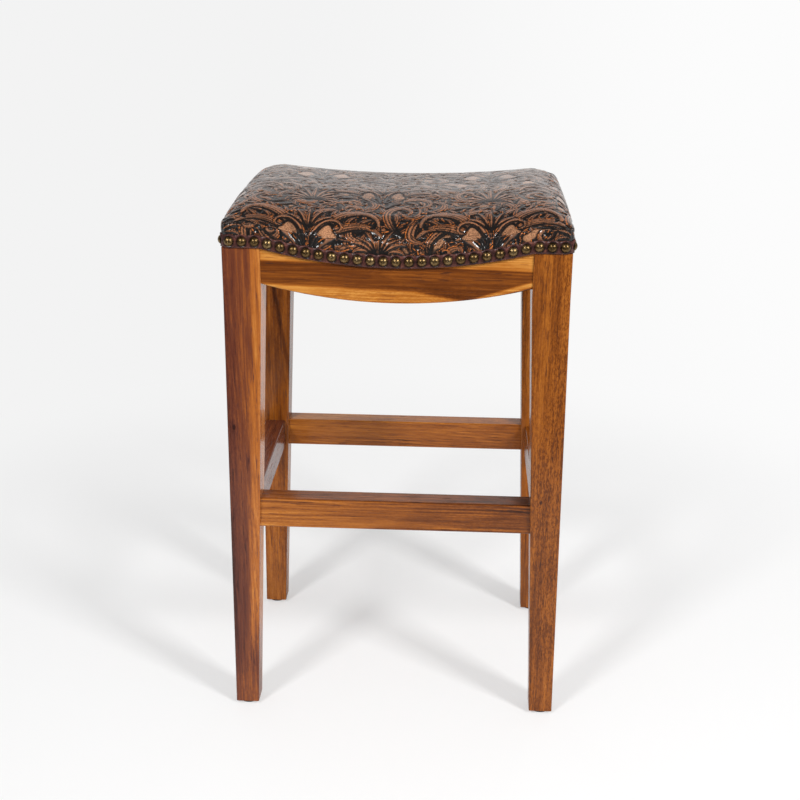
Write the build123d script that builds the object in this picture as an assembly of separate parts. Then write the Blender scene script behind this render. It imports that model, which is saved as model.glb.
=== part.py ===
from build123d import *
import copy
import math
import os

# Counter stool: a mortised hardwood frame under a saddle seat in nailed leather.
# Millimetres, +Z up, +X to the right and -Y to the front.
# The origin is on the floor, under the middle of the stool.

os.makedirs("parts", exist_ok=True)

# Frame
frame_width = 395.0
frame_depth = 307.0
frame_height = 608.0
cut_overrun = 20.0

# Legs: square at the top, tapered down to the foot from just below the aprons,
# where taper_drop is the length that stays square
leg_width = 43.5
leg_depth = 42.6
foot_width = 29.2
foot_depth = 28.8
foot_spread = 6.5
foot_draw_in = 7.4
taper_drop = 53.0
wood_arris = 1.6

# Floor glides under the legs
glide_height = 4.0
glide_radius = 12.0
glide_edge = 1.0
glide_nail_radius = 1.1
glide_nail_length = 15.0
glide_head_radius = 3.4
glide_head_height = 1.2
glide_recess_depth = 2.2

# Aprons, the front and back ones curved to the seat
apron_height = 42.0
apron_thickness = 20.0
apron_inset = 2.0
seat_dip = 20.0
apron_tenon_length = 22.0
apron_tenon_thickness = 9.0
apron_tenon_shoulder = 5.0

# Stretchers
stretcher_top = 294.5
stretcher_height = 38.0
stretcher_thickness = 27.0
stretcher_tenon_length = 22.0
side_tenon_length = 11.0
stretcher_tenon_thickness = 10.0
stretcher_tenon_shoulder = 5.0
mortise_end_gap = 1.0

# Corner blocks inside the aprons, with their screws
block_reach = 45.0
block_height = 38.0
block_screw_radius = 1.9
block_screw_head_radius = 3.8
block_screw_head_height = 2.6
block_screw_length = 32.0
block_screw_bite = 12.0
block_screw_share = 0.5
block_screw_rise = 14.0
seat_screw_radius = 2.1
seat_screw_head_radius = 4.0
seat_screw_head_height = 2.6
seat_screw_bite = 11.0
seat_screw_recess = 4.0
seat_screw_setback = 8.5
screw_recess_gap = 0.4

# Seat board, foam, leather and the band round its edge
band_overhang = 1.5
band_height = 15.0
band_thickness = 1.5
leather_thickness = 1.5
board_thickness = 16.0
board_corner_radius = 8.0
wall_height = 27.0
edge_run = 38.0
cushion_end_rise = 50.5
cushion_middle_rise = 42.5
cushion_crown = 6.0
station_shares = (0.0, 0.07, 0.24, 0.55, 1.0)
station_rise_shares = (0.10, 0.42, 0.68, 0.90, 1.0)
middle_station_shares = (0.75, 0.5, 0.25, 0.0)
round_mid_run_share = 0.28
round_mid_rise_share = 0.70

# Upholstery nails
nail_head_radius = 5.5
nail_head_height = 3.5
nail_shank_radius = 0.7
nail_shank_length = 9.0
nail_corner_margin = 10.5
nail_pitch = 14.5
nail_hole_gap = 0.5

# Dust cover under the board, with its tacks
dust_thickness = 0.8
dust_seat_gap = 0.1
dust_edge_gap = 3.0
tack_head_radius = 3.5
tack_head_height = 0.8
tack_shank_radius = 0.7
tack_shank_length = 8.0
tack_inset = 7.0
tack_seat_gap = 0.02
front_tack_count = 7
side_tack_count = 4

# Places that follow from the sizes above
taper_top = frame_height - taper_drop
cushion_end_top = frame_height + cushion_end_rise
cushion_middle_top = frame_height + cushion_middle_rise
outer_x = frame_width / 2
outer_y = frame_depth / 2
inner_x = outer_x - leg_width
inner_y = outer_y - leg_depth
apron_outer_x = outer_x - apron_inset
apron_outer_y = outer_y - apron_inset
apron_inner_x = apron_outer_x - apron_thickness
apron_inner_y = apron_outer_y - apron_thickness
band_outer_x = outer_x + band_overhang
band_outer_y = outer_y + band_overhang
cover_outer_x = band_outer_x - band_thickness
cover_outer_y = band_outer_y - band_thickness
board_x = cover_outer_x - leather_thickness
board_y = cover_outer_y - leather_thickness
saddle_radius = (inner_x**2 + seat_dip**2) / (2 * seat_dip)
foot_outer_x = outer_x + foot_spread
foot_outer_y = outer_y - foot_draw_in
foot_middle_x = foot_outer_x - foot_width / 2
foot_middle_y = foot_outer_y - foot_depth / 2
nail_line = band_height / 2


def saddle_height(x):
    """Height of the underside of the seat board at x."""
    if abs(x) >= inner_x:
        return frame_height
    fall = math.sqrt(saddle_radius**2 - x**2) - (saddle_radius - seat_dip)
    return frame_height - fall


def leg_middle_at(z, foot_middle, top_middle):
    """Middle of a leg at the height z, on its tapered length."""
    share = (z - glide_height) / (taper_top - glide_height)
    return foot_middle + (top_middle - foot_middle) * share


def save(shape, name):
    """Write one node, a solid or a group of solids, to its own file."""
    export_step(shape, f"parts/{name}.step")
    print(name, len(shape.solids()), "solids, volume", round(shape.volume, 1))


def block(x0, x1, y0, y1, z0, z1):
    """Rectangular solid between two corners."""
    centre = Pos((x0 + x1) / 2, (y0 + y1) / 2, (z0 + z1) / 2)
    return centre * Box(abs(x1 - x0), abs(y1 - y0), abs(z1 - z0))


def rod(start, direction, radius, length):
    """Cylinder from a point along a direction."""
    place = Plane(origin=start, z_dir=direction)
    return place * Cylinder(radius, length, align=(Align.CENTER, Align.CENTER, Align.MIN))


def saddle_strip(half_x, half_y, low, high):
    """Sheet that follows the saddle, from low to high above the board's underside."""
    edges = []
    for rise, way in ((low, 1), (high, -1)):
        end_z = frame_height + rise
        side = way * inner_x
        start = (-way * half_x, -half_y, end_z)
        edges.append(Line(start, (-side, -half_y, end_z)))
        middle = (0, -half_y, end_z - seat_dip)
        edges.append(ThreePointArc((-side, -half_y, end_z), middle, (side, -half_y, end_z)))
        edges.append(Line((side, -half_y, end_z), (way * half_x, -half_y, end_z)))
    low_z = frame_height + low
    high_z = frame_height + high
    edges.append(Line((half_x, -half_y, low_z), (half_x, -half_y, high_z)))
    edges.append(Line((-half_x, -half_y, high_z), (-half_x, -half_y, low_z)))
    return extrude(make_face(edges), amount=2 * half_y, dir=(0, 1, 0))


def seat_plan(growth, low_z, high_z):
    """Upright prism over the plan of the seat board, grown outward."""
    plan = RectangleRounded(2 * (board_x + growth), 2 * (board_y + growth), board_corner_radius + growth)
    return Pos(0, 0, low_z) * extrude(plan, amount=high_z - low_z)


def four_ways(shape):
    """The same shape in the four corners, made from the front left one."""
    return {
        "front_left": shape,
        "front_right": mirror(shape, about=Plane.YZ),
        "back_left": mirror(shape, about=Plane.XZ),
        "back_right": Rot(0, 0, 180) * shape,
    }


# Rail lines, all given for the front left corner
stretcher_middle = stretcher_top - stretcher_height / 2
stretcher_y = leg_middle_at(stretcher_middle, foot_middle_y, outer_y - leg_depth / 2)
stretcher_x = leg_middle_at(stretcher_middle, foot_middle_x, outer_x - leg_width / 2)
stretcher_face_x = stretcher_x - leg_middle_at(stretcher_middle, foot_width, leg_width) / 2
stretcher_face_y = stretcher_y - leg_middle_at(stretcher_middle, foot_depth, leg_depth) / 2
apron_x = apron_outer_x - apron_thickness / 2
apron_y = apron_outer_y - apron_thickness / 2


def corner_tenons(extra):
    """The four tenons that meet in the front left leg, lengthened by extra."""
    high = frame_height - apron_tenon_shoulder
    low = frame_height - apron_height + apron_tenon_shoulder
    half = apron_tenon_thickness / 2
    long = apron_tenon_length + extra
    front = block(-inner_x - long, -inner_x, -apron_y - half, -apron_y + half, low, high)
    left = block(-apron_x - half, -apron_x + half, -inner_y - long, -inner_y, low, high)
    high = stretcher_top - stretcher_tenon_shoulder
    low = stretcher_top - stretcher_height + stretcher_tenon_shoulder
    half = stretcher_tenon_thickness / 2
    end_x = stretcher_face_x + stretcher_tenon_length + extra
    end_y = stretcher_face_y + side_tenon_length + extra
    cross = block(-end_x, -inner_x, -stretcher_y - half, -stretcher_y + half, low, high)
    side = block(-stretcher_x - half, -stretcher_x + half, -end_y, -inner_y, low, high)
    return {"apron_front": front, "apron_left": left, "stretcher_front": cross, "stretcher_left": side}


def glide_nail_rod(extra):
    """Shank of the front left glide nail, with extra radius."""
    start = (-foot_middle_x, -foot_middle_y, glide_recess_depth)
    return rod(start, (0, 0, 1), glide_nail_radius + extra, glide_nail_length)


# Legs
def leg_section(middle_x, middle_y, width, depth, z):
    """Eased rectangle across the front left leg at the height z."""
    return Pos(-middle_x, -middle_y, z) * RectangleRounded(width, depth, wood_arris)


def leg_body():
    """Front left leg before its mortises are cut."""
    foot = leg_section(foot_middle_x, foot_middle_y, foot_width, foot_depth, glide_height)
    knee_x = outer_x - leg_width / 2
    knee_y = outer_y - leg_depth / 2
    knee = leg_section(knee_x, knee_y, leg_width, leg_depth, taper_top)
    return loft([foot, knee], ruled=True) + extrude(knee, amount=frame_height - taper_top)


def front_left_leg():
    leg = leg_body()
    for tenon in corner_tenons(mortise_end_gap).values():
        leg = leg - tenon
    return leg - glide_nail_rod(0)


leg_blanks = four_ways(leg_body())
legs = four_ways(front_left_leg())


# Aprons
def curved_apron():
    """Front apron, its top and bottom edges following the seat."""
    y0 = -apron_outer_y
    long_x = inner_x + cut_overrun
    rise = saddle_radius - math.sqrt(saddle_radius**2 - long_x**2)
    arcs = []
    ends = []
    for level in (frame_height, frame_height - apron_height):
        lowest = level - seat_dip
        left = (-long_x, y0, lowest + rise)
        right = (long_x, y0, lowest + rise)
        arcs.append(ThreePointArc(left, (0, y0, lowest), right))
        ends.append((left, right))
    sides = [Line(ends[0][i], ends[1][i]) for i in (0, 1)]
    rail = extrude(make_face(arcs + sides), amount=apron_thickness, dir=(0, 1, 0))
    lower_edges = rail.edges().filter_by(GeomType.CIRCLE).sort_by(Axis.Z)[:2]
    rail = fillet(lower_edges, radius=wood_arris)
    low_z = frame_height - apron_height - seat_dip - cut_overrun
    high_z = frame_height + cut_overrun
    rail = rail & block(-inner_x, inner_x, -outer_y, outer_y, low_z, high_z)
    tenon = corner_tenons(0)["apron_front"]
    return rail + tenon + mirror(tenon, about=Plane.YZ)


def straight_apron():
    """Left apron between the legs of one side."""
    low_z = frame_height - apron_height
    rail = block(-apron_outer_x, -apron_inner_x, -inner_y, inner_y, low_z, frame_height)
    rail = fillet(rail.edges().filter_by(Axis.Y), radius=wood_arris)
    tenon = corner_tenons(0)["apron_left"]
    return rail + tenon + mirror(tenon, about=Plane.XZ)


# Stretchers, their shoulders cut to the taper of the legs
def cross_stretcher():
    """Front stretcher, which carries the feet."""
    low_z = stretcher_top - stretcher_height
    half = stretcher_thickness / 2
    rail = block(-stretcher_x, stretcher_x, -stretcher_y - half, -stretcher_y + half, low_z, stretcher_top)
    rail = fillet(rail.edges().filter_by(Axis.X), radius=wood_arris)
    rail = rail - leg_blanks["front_left"] - leg_blanks["front_right"]
    tenon = corner_tenons(0)["stretcher_front"]
    return rail + tenon + mirror(tenon, about=Plane.YZ)


def side_stretcher():
    """Left stretcher."""
    low_z = stretcher_top - stretcher_height
    half = stretcher_thickness / 2
    rail = block(-stretcher_x - half, -stretcher_x + half, -stretcher_y, stretcher_y, low_z, stretcher_top)
    rail = fillet(rail.edges().filter_by(Axis.Y), radius=wood_arris)
    rail = rail - leg_blanks["front_left"] - leg_blanks["back_left"]
    tenon = corner_tenons(0)["stretcher_left"]
    return rail + tenon + mirror(tenon, about=Plane.XZ)


# Screws of the corner blocks
block_line = inner_x - block_reach + apron_inner_y
block_bottom = frame_height - block_height
block_screw_z = block_bottom + block_screw_rise
block_screw_x = inner_x - block_reach * block_screw_share
seat_screw_x = inner_x - seat_screw_setback / math.sqrt(2)
seat_screw_y = inner_y - seat_screw_setback / math.sqrt(2)
side_reach_y = block_line - apron_inner_x
block_screw_y = side_reach_y + (inner_y - side_reach_y) * block_screw_share
recess_front_y = apron_inner_y + block_screw_bite - block_screw_length + block_screw_head_height
recess_side_x = apron_inner_x + block_screw_bite - block_screw_length + block_screw_head_height


def screw(tip, direction, radius, head_radius, head_height, length):
    """Flat-headed screw, its point at tip and its head at the end of direction."""
    way = Vector(*direction)
    shank = rod(tip, direction, radius, length - head_height)
    head_start = Vector(*tip) + way * (length - head_height)
    return shank + rod(head_start, direction, head_radius, head_height)


def front_block_screw():
    """Screw from the corner block into the front apron."""
    tip = (-block_screw_x, -apron_inner_y - block_screw_bite, block_screw_z)
    size = (block_screw_radius, block_screw_head_radius, block_screw_head_height, block_screw_length)
    return screw(tip, (0, 1, 0), *size)


def side_block_screw():
    """Screw from the corner block into the left apron."""
    tip = (-apron_inner_x - block_screw_bite, -block_screw_y, block_screw_z)
    size = (block_screw_radius, block_screw_head_radius, block_screw_head_height, block_screw_length)
    return screw(tip, (1, 0, 0), *size)


def seat_screw():
    """Screw up through the corner block into the seat board."""
    head_z = block_bottom + seat_screw_recess - seat_screw_head_height
    tip = (-seat_screw_x, -seat_screw_y, saddle_height(seat_screw_x) + seat_screw_bite)
    size = (seat_screw_radius, seat_screw_head_radius, seat_screw_head_height, tip[2] - head_z)
    return screw(tip, (0, 0, -1), *size)


block_screws = [front_block_screw(), side_block_screw()]


# Corner blocks
def corner_block():
    """Block glued across the front left corner, notched round the leg."""
    z = block_bottom
    plan = Polyline(
        (-inner_x, -apron_inner_y, z),
        (-inner_x + block_reach, -apron_inner_y, z),
        (-apron_inner_x, -side_reach_y, z),
        (-apron_inner_x, -inner_y, z),
        (-inner_x, -inner_y, z),
        close=True,
    )
    body = extrude(make_face(plan), amount=block_height, dir=(0, 0, 1))
    body = body - saddle_strip(board_x, board_y, 0, board_thickness)
    recess_radius = block_screw_head_radius + screw_recess_gap
    front_start = (-block_screw_x, -recess_front_y, block_screw_z)
    side_start = (-recess_side_x, -block_screw_y, block_screw_z)
    seat_start = (-seat_screw_x, -seat_screw_y, block_bottom + seat_screw_recess)
    body = body - rod(front_start, (0, 1, 0), recess_radius, block_reach)
    body = body - rod(side_start, (1, 0, 0), recess_radius, block_reach)
    body = body - rod(seat_start, (0, 0, -1), seat_screw_head_radius + screw_recess_gap, cut_overrun)
    for piece in block_screws:
        body = body - piece
    return body - seat_screw()


# Seat board
def nail_places():
    """Place and outward direction of every upholstery nail, by side."""
    gaps_x = round(2 * (band_outer_x - nail_corner_margin) / nail_pitch)
    gaps_y = round(2 * (band_outer_y - nail_corner_margin) / nail_pitch)
    half_x = band_outer_x - nail_corner_margin
    half_y = band_outer_y - nail_corner_margin
    along_front = [half_x * (2 * i / gaps_x - 1) for i in range(gaps_x + 1)]
    along_side = [half_y * (2 * i / gaps_y - 1) for i in range(gaps_y + 1)]
    end_z = frame_height + nail_line
    return {
        "front": [((x, -band_outer_y, saddle_height(x) + nail_line), (0, -1, 0)) for x in along_front],
        "back": [((x, band_outer_y, saddle_height(x) + nail_line), (0, 1, 0)) for x in along_front],
        "left": [((-band_outer_x, y, end_z), (-1, 0, 0)) for y in along_side],
        "right": [((band_outer_x, y, end_z), (1, 0, 0)) for y in along_side],
    }


def nail_profile():
    """Domed nail about +Z, its head seated on the plane through zero."""
    sphere_radius = (nail_head_radius**2 + nail_head_height**2) / (2 * nail_head_height)
    rise = sphere_radius * math.sin(math.acos((nail_head_radius / 2) / sphere_radius))
    outline = [
        Line((0, 0, -nail_shank_length), (nail_shank_radius, 0, -nail_shank_length)),
        Line((nail_shank_radius, 0, -nail_shank_length), (nail_shank_radius, 0, 0)),
        Line((nail_shank_radius, 0, 0), (nail_head_radius, 0, 0)),
        ThreePointArc(
            (nail_head_radius, 0, 0),
            (nail_head_radius / 2, 0, rise - (sphere_radius - nail_head_height)),
            (0, 0, nail_head_height),
        ),
        Line((0, 0, nail_head_height), (0, 0, -nail_shank_length)),
    ]
    return revolve(make_face(outline), Axis.Z)


nail = nail_profile()
shank = rod((0, 0, 0), (0, 0, -1), nail_shank_radius, nail_shank_length + nail_hole_gap)
nails = {}
shanks = []
for side, places in nail_places().items():
    nails[side] = [Plane(origin=p, z_dir=d) * nail for p, d in places]
    shanks += [Plane(origin=p, z_dir=d) * shank for p, d in places]


# Dust cover, with the corners cut off past the blocks
def dust_plan(inset):
    """Corner points of the dust cover, drawn in by inset."""
    edge_x = apron_inner_x - dust_edge_gap - inset
    edge_y = apron_inner_y - dust_edge_gap - inset
    line = block_line - (dust_edge_gap + inset) * math.sqrt(2)
    return edge_x, edge_y, line - edge_y, line - edge_x


def dust_cover():
    edge_x, edge_y, corner_x, corner_y = dust_plan(0)
    z = frame_height - seat_dip - cut_overrun
    corners = [(corner_x, edge_y), (edge_x, corner_y), (edge_x, -corner_y), (corner_x, -edge_y)]
    ring = corners + [(-x, -y) for x, y in corners]
    plan = make_face(Polyline(*[(x, y, z) for x, y in ring], close=True))
    prism = extrude(plan, amount=2 * cut_overrun + seat_dip, dir=(0, 0, 1))
    return saddle_strip(board_x, board_y, -dust_thickness - dust_seat_gap, -dust_seat_gap) & prism


def tacks():
    """Flat tacks round the edge of the dust cover."""
    edge_x, edge_y, corner_x, corner_y = dust_plan(tack_inset)
    places = []
    for i in range(front_tack_count):
        x = corner_x * (2 * i / (front_tack_count - 1) - 1)
        places += [(x, -edge_y), (x, edge_y)]
    for i in range(side_tack_count):
        y = corner_y * (2 * i / (side_tack_count - 1) - 1)
        places += [(-edge_x, y), (edge_x, y)]
    found = []
    for x, y in places:
        lean = x / saddle_radius if abs(x) < inner_x else 0
        up = Vector(-math.sin(lean), 0, math.cos(lean))
        seat = Vector(x, y, saddle_height(x)) - up * (dust_thickness + dust_seat_gap + tack_seat_gap)
        head = rod(seat, -up, tack_head_radius, tack_head_height)
        found.append(head + rod(seat, up, tack_shank_radius, tack_shank_length))
    return found


# Cushion form: crowned, drawn in from the walls, dipped to the saddle
def cushion_section(x_place, rise_share, crest, growth):
    """Closed outline across the cushion at x_place."""
    half = board_y + growth
    run = edge_run
    wall = saddle_height(x_place) + wall_height
    top = wall + (crest + growth - wall) * rise_share
    shoulder = top - cushion_crown * rise_share
    mid_y = half - run * round_mid_run_share
    mid_z = wall + (shoulder - wall) * round_mid_rise_share
    low = frame_height - seat_dip - cut_overrun
    left_low = Vector(x_place, -half, low)
    left_wall = Vector(x_place, -half, wall)
    left_top = Vector(x_place, -half + run, shoulder)
    right_top = Vector(x_place, half - run, shoulder)
    right_wall = Vector(x_place, half, wall)
    right_low = Vector(x_place, half, low)
    edges = [
        Line(left_low, left_wall),
        ThreePointArc(left_wall, Vector(x_place, -mid_y, mid_z), left_top),
        ThreePointArc(left_top, Vector(x_place, 0, top), right_top),
        ThreePointArc(right_top, Vector(x_place, mid_y, mid_z), right_wall),
        Line(right_wall, right_low),
        Line(right_low, left_low),
    ]
    return make_face(edges)


def cushion_body(growth):
    """Cushion form above the saddle, larger by growth on every visible side."""
    half = board_x + growth
    stations = [(half - edge_run * s, r, cushion_end_top) for s, r in zip(station_shares, station_rise_shares)]
    last_x = stations[-1][0]
    for share in middle_station_shares:
        crest = cushion_middle_top + (cushion_end_top - cushion_middle_top) * share**2
        stations.append((last_x * share, 1, crest))
    right = [cushion_section(x, r, crest, growth) for x, r, crest in stations]
    left = [cushion_section(-x, r, crest, growth) for x, r, crest in stations[:-1]]
    return loft(left + right[::-1], ruled=True)


def seat_layers():
    """Board, foam, leather and band, each fitted to the one below it."""
    below = frame_height - seat_dip - cut_overrun
    above = cushion_end_top + cut_overrun
    wide_x = band_outer_x + cut_overrun
    wide_y = band_outer_y + cut_overrun
    board_plan = seat_plan(0, below, above)
    leather_plan = seat_plan(leather_thickness, below, above)
    band_plan = seat_plan(leather_thickness + band_thickness, below, above)
    deep = 2 * cut_overrun + seat_dip
    under_board = saddle_strip(wide_x, wide_y, -deep, 0)
    under_foam = saddle_strip(wide_x, wide_y, -deep, board_thickness)
    board = saddle_strip(board_x, board_y, 0, board_thickness) & board_plan
    foam = (cushion_body(0) & board_plan) - under_foam
    leather = (cushion_body(leather_thickness) & leather_plan) - under_board
    leather = leather - foam - board
    band = (saddle_strip(wide_x, wide_y, 0, band_height) & band_plan) - leather_plan
    return board, foam, leather, band


def bored(shape, tools):
    """The shape with every one of the tools cut out of it."""
    for tool in tools:
        shape = shape - tool
    return shape


# Glides
def glide_nail():
    """Nail that holds the front left glide, its head sunk in the glide."""
    head_start = (-foot_middle_x, -foot_middle_y, glide_recess_depth)
    head = rod(head_start, (0, 0, -1), glide_head_radius, glide_head_height)
    return glide_nail_rod(0) + head


def foot_glide():
    """Front left glide, bored for its nail."""
    centre = (-foot_middle_x, -foot_middle_y, 0)
    disc = rod(centre, (0, 0, 1), glide_radius, glide_height)
    rim = disc.edges().filter_by(GeomType.CIRCLE).sort_by(Axis.Z)[0]
    disc = chamfer(rim, length=glide_edge)
    recess = rod(centre, (0, 0, 1), glide_head_radius + screw_recess_gap, glide_recess_depth)
    return disc - recess - glide_nail_rod(0)


# Everything put together
def group(solids, name):
    """Write several like solids as one node."""
    save(Compound(children=[copy.copy(piece) for piece in solids]), name)


board, foam, leather, band = seat_layers()
cloth = dust_cover()
cloth_tacks = tacks()
corner_screws = [four_ways(piece) for piece in (*block_screws, seat_screw())]
seat_screws = list(corner_screws[2].values())
board = bored(board, shanks + seat_screws + cloth_tacks)
leather = bored(leather, shanks)
band = bored(band, shanks)
cloth = bored(cloth, cloth_tacks)
front_apron = curved_apron() - block_screws[0]
front_apron = front_apron - mirror(block_screws[0], about=Plane.YZ)
left_apron = straight_apron() - block_screws[1]
left_apron = left_apron - mirror(block_screws[1], about=Plane.XZ)

for corner, shape in legs.items():
    save(shape, f"leg_{corner}")
for corner, shape in four_ways(foot_glide()).items():
    save(shape, f"foot_glide_{corner}")
for corner, shape in four_ways(corner_block()).items():
    save(shape, f"corner_block_{corner}")
for kind, front, left in (
    ("apron", front_apron, left_apron),
    ("stretcher", cross_stretcher(), side_stretcher()),
):
    save(front, f"{kind}_front")
    save(mirror(front, about=Plane.XZ), f"{kind}_back")
    save(left, f"{kind}_left")
    save(mirror(left, about=Plane.YZ), f"{kind}_right")
group(list(four_ways(glide_nail()).values()), "glide_nails")
group(list(corner_screws[0].values()) + list(corner_screws[1].values()), "corner_block_screws")
group(seat_screws, "seat_screws")
save(board, "seat_board")
save(foam, "seat_foam")
save(leather, "seat_cover")
save(band, "trim_band")
for side, found in nails.items():
    group(found, f"upholstery_nails_{side}")
save(cloth, "dust_cover")
group(cloth_tacks, "dust_cover_tacks")
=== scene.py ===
import math

import bpy
import numpy as np
from mathutils import Matrix, Vector


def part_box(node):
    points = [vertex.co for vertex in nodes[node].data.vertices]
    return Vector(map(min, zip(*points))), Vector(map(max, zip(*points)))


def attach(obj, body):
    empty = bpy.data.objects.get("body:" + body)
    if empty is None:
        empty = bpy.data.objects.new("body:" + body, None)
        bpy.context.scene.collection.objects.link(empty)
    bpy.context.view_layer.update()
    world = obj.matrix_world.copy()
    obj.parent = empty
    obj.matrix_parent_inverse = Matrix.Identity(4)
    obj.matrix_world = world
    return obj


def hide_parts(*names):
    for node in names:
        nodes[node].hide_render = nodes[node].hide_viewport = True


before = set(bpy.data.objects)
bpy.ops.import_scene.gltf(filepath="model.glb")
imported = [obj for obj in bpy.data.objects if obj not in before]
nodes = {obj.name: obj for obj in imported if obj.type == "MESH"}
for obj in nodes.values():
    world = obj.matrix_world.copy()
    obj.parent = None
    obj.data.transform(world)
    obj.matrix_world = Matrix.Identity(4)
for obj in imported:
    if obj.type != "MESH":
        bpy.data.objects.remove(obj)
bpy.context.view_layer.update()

bpy.ops.object.select_all(action="DESELECT")


# Camera: above seat height, looking down on the front of the stool from a little right of its
# middle. Its place and lens put the legs, aprons and stretchers where the photograph has them.
camera_lens = 56.465
camera_place = (0.06933, -1.52487, 0.94655)
camera_turn = Matrix((
    (0.99875654, -0.02466179, 0.04332625),
    (0.04923473, 0.35144182, -0.93491422),
    (0.00783001, 0.93588485, 0.35221903),
))
bpy.ops.object.camera_add()
camera = bpy.context.object
camera.name = "camera"
camera.data.sensor_width = 36
camera.data.lens = camera_lens
camera.matrix_world = Matrix.Translation(camera_place) @ camera_turn.to_4x4()
bpy.context.scene.camera = camera
bpy.context.scene.view_settings.view_transform = "Standard"


# Studio: a pale paper sweep that is floor and backdrop in one, with two soft lamps above the
# front, the left one nearer, and even light from all round. Reflections show the bright sweep.
def tint(red, green, blue):
    """A colour as it shows on a screen, 0 to 255, turned into the linear values of a material."""
    shares = [c / 255 for c in (red, green, blue)]
    return (*[c / 12.92 if c <= 0.04045 else ((c + 0.055) / 1.055) ** 2.4 for c in shares], 1)


def feed(tree, node, inputs):
    """Give a node's sockets their values, or a link where the value is a Tone."""
    for key, value in inputs.items():
        if isinstance(value, Tone):
            tree.links.new(value.socket, node.inputs[key])
        else:
            node.inputs[key].default_value = value


class Tone:
    """One value or colour in a material. Working with it adds the nodes that it needs."""

    def __init__(self, tree, socket):
        self.tree = tree
        self.socket = socket

    def node(self, kind, settings, inputs, output=0):
        """Any node: its type, its settings, and the values or links of its sockets."""
        made = self.tree.nodes.new(kind)
        for key, value in settings.items():
            if key == "stops":
                steps = made.color_ramp.elements
                while len(steps) < len(value):
                    steps.new(0.5)
                for step, (place, colour) in zip(steps, value):
                    step.position = place
                    step.color = colour
            else:
                setattr(made, key, value)
        feed(self.tree, made, inputs)
        return Tone(self.tree, made.outputs[output])

    def math(self, operation, *others):
        """A Math node that works on this value, and on others where it takes more than one."""
        return self.node("ShaderNodeMath", {"operation": operation}, dict(enumerate((self, *others))))

    def __add__(self, other):
        return self.math("ADD", other)

    __radd__ = __add__

    def __sub__(self, other):
        return self.math("SUBTRACT", other)

    def __rsub__(self, other):
        return self.node("ShaderNodeMath", {"operation": "SUBTRACT"}, {0: other, 1: self})

    def __mul__(self, other):
        return self.math("MULTIPLY", other)

    def __pow__(self, other):
        return self.math("POWER", other)

    def part(self, index):
        """X, Y or Z of a vector."""
        return self.node("ShaderNodeSeparateXYZ", {}, {0: self}, index)

    def scaled(self, x, y, z):
        """A vector with its three parts multiplied."""
        return self.node("ShaderNodeVectorMath", {"operation": "MULTIPLY"}, {0: self, 1: (x, y, z)})

    def moved(self, x, y, z):
        """A vector with its three parts moved."""
        return self.node("ShaderNodeVectorMath", {"operation": "ADD"}, {0: self, 1: (x, y, z)})

    def step(self, low, high):
        """0 below low, 1 above high, and a smooth turn between them."""
        ends = {0: self, 1: low, 2: high, 3: 0.0, 4: 1.0}
        return self.node("ShaderNodeMapRange", {"interpolation_type": "SMOOTHSTEP"}, ends)

    def grain(self, detail=2.0, roughness=0.5, distortion=0.0):
        """Cloudy noise read at this vector."""
        facts = dict(Vector=self, Scale=1.0, Detail=detail, Roughness=roughness, Distortion=distortion)
        return self.node("ShaderNodeTexNoise", {}, facts)

    def mix(self, first, second):
        """The first colour where this is 0, the second where it is 1."""
        return self.node("ShaderNodeMix", {"data_type": "RGBA"}, {0: self, 6: first, 7: second}, 2)

    def ramp(self, *stops):
        """Colours along this value."""
        return self.node("ShaderNodeValToRGB", {"stops": stops}, {0: self})

    def bump(self, distance, strength=1.0):
        """Normal of a surface whose height is this value."""
        return self.node("ShaderNodeBump", {}, {"Height": self, "Distance": distance, "Strength": strength})


class Finish:
    """A material on the Principled shader, with the coordinates that its patterns read."""

    def __init__(self, name, **values):
        self.material = bpy.data.materials.new(name)
        self.material.use_nodes = True
        self.tree = self.material.node_tree
        self.shader = self.tree.nodes["Principled BSDF"]
        coordinates = self.tree.nodes.new("ShaderNodeTexCoord")
        self.place = Tone(self.tree, coordinates.outputs["Object"])
        self.set(**values)

    def attribute(self, name):
        """A number that the mesh carries at each of its points."""
        return self.place.node("ShaderNodeAttribute", {"attribute_name": name}, {}, "Fac")

    def set(self, **values):
        """Feed inputs of the shader, named as they are with _ for a space."""
        feed(self.tree, self.shader, {key.replace("_", " "): value for key, value in values.items()})


def ray(tone, kind):
    """1 for light rays of one kind, 0 for all others."""
    return tone.node("ShaderNodeLightPath", {}, {}, f"Is {kind} Ray")


near_glow = 0.46
mirror_edge = (-1.0, -0.8)
mirror_top = (1.8, 3.3)
paper = Finish("studio_paper", Roughness=0.95, Specular_IOR_Level=0.0)
paper_x, paper_y, paper_z = [paper.place.part(i) for i in range(3)]
paper_edge = paper_y.step(*mirror_edge)
paper.set(Base_Color=paper_edge.mix(tint(96, 96, 98), tint(250, 250, 250)))
off_centre = (paper_x * paper_x + paper_y * paper_y) ** 0.5
seen = ray(paper.place, "Camera") * (near_glow + off_centre.step(0.30, 1.2) * (1 - near_glow))
mirrored = (ray(paper.place, "Glossy") + ray(paper.place, "Transmission")) * off_centre.step(0.55, 1.5)
shown = seen + mirrored * paper_edge * (1 - paper_z.step(*mirror_top))
pale = paper_x.step(-0.7, 1.1).mix(tint(243, 243, 243), tint(252, 252, 252))
glow = paper.place.node("ShaderNodeEmission", {}, {"Color": pale, "Strength": 1.0})
lit_paper = Tone(paper.tree, paper.shader.outputs[0])
both = paper.place.node("ShaderNodeMixShader", {}, {0: shown, 1: lit_paper, 2: glow})
feed(paper.tree, paper.tree.nodes["Material Output"], {"Surface": both})
bpy.ops.mesh.primitive_grid_add(x_subdivisions=2, y_subdivisions=60, size=2)
sweep = bpy.context.object
sweep.name = "studio_sweep"
sweep_front = -5.0
sweep_flat = 7.0
sweep_rise = 5.0
sweep_radius = 1.5
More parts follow.
